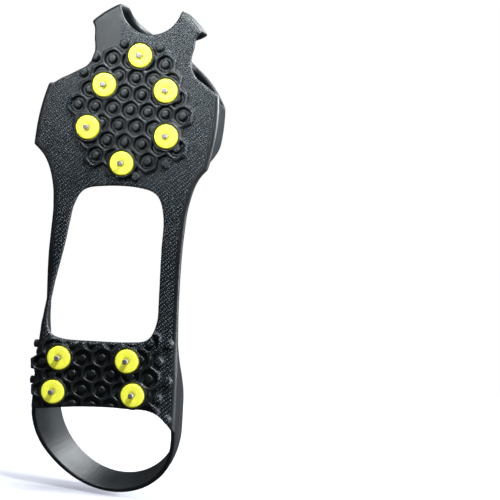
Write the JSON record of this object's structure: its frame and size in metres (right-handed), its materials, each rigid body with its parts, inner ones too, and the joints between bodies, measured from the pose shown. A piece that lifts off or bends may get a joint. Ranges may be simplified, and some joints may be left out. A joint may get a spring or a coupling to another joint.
{
  "type": "shoe ice cleat",
  "caption": "Slip-on rubber ice cleat for a boot: a toe band and heel band stretched over the boot, with a honeycomb tread and steel-tipped studs under forefoot and heel.",
  "frame": {"origin": "middle of the forefoot seat, on the rubber's inner face between the six forefoot studs", "axes": "+Z along the foot to the toe, +X across the foot, +Y from the tread up into the boot"},
  "size_m": [0.1148, 0.0662, 0.3066],
  "materials": {
    "rubber": "satin, fine mesh texture with smooth bands",
    "lemon_disc": "soft gloss",
    "steel_pin": "ground"
  },
  "bodies": {
    "forefoot": {"forefoot_rubber": "rubber", "forefoot_disc_1": "lemon_disc", "forefoot_pin_1": "steel_pin", "forefoot_disc_2": "lemon_disc", "forefoot_pin_2": "steel_pin", "forefoot_disc_3": "lemon_disc", "forefoot_pin_3": "steel_pin", "forefoot_disc_4": "lemon_disc", "forefoot_pin_4": "steel_pin", "forefoot_disc_5": "lemon_disc", "forefoot_pin_5": "steel_pin", "forefoot_disc_6": "lemon_disc", "forefoot_pin_6": "steel_pin"},
    "heel": {"heel_rubber": "rubber", "heel_disc_1": "lemon_disc", "heel_pin_1": "steel_pin", "heel_disc_2": "lemon_disc", "heel_pin_2": "steel_pin", "heel_disc_3": "lemon_disc", "heel_pin_3": "steel_pin", "heel_disc_4": "lemon_disc", "heel_pin_4": "steel_pin"}
  },
  "joints": [
    {"name": "waist_flex", "type": "hinge", "parent": "forefoot", "child": "heel", "pos_m": [0, -0.0015, -0.093], "axis": [1, 0, 0], "range_deg": [0, 90], "stiffness_Nm_per_rad": 0.003}
  ]
}
